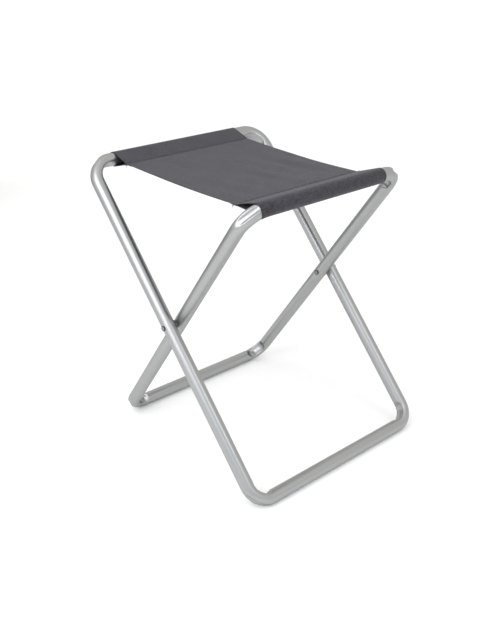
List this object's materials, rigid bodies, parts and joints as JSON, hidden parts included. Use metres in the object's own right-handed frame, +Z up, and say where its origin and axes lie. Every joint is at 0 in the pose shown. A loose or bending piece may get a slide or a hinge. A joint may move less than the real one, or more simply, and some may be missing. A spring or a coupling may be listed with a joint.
{
  "type": "folding camp stool",
  "caption": "Folding camp stool: crossed loops of round aluminium tube riveted at the middle, with a sling seat of grey woven cloth between the seat rails.",
  "frame": {"origin": "on the floor, at the middle of the opened stool's bounding box", "axes": "+Z up, +X across the seat from the outer frame's seat rail to the inner frame's seat rail, +Y along the rails and the pivot line"},
  "size_m": [0.3724, 0.342, 0.4133],
  "materials": {
    "bright_aluminium": "bright drawn tube, satin lengthwise",
    "zinc_steel": "bluish zinc plate",
    "black_nylon": "moulded matt",
    "grey_polyester": "plain woven, slight sheen",
    "grey_thread": "spun sewing thread"
  },
  "bodies": {
    "outer_frame": {"outer_frame_tube": "bright_aluminium", "outer_rail_splice": "bright_aluminium", "pivot_rivets": "zinc_steel", "pivot_spacers": "black_nylon", "outer_rail_wrap": "grey_polyester", "seat_panel": "grey_polyester", "outer_seam_thread": "grey_thread", "inner_seam_thread": "grey_thread", "corner_tacks": "grey_thread"},
    "inner_frame": {"inner_frame_tube": "bright_aluminium", "inner_rail_splice": "bright_aluminium", "inner_rail_wrap": "grey_polyester"}
  },
  "joints": [
    {"name": "fold", "type": "hinge", "parent": "outer_frame", "child": "inner_frame", "pos_m": [-0.00227, 0, 0.20928], "axis": [0, -1, 0], "range_deg": [0, 75.5], "deforming": ["seat_panel", "outer_seam_thread", "inner_seam_thread", "corner_tacks"]}
  ]
}
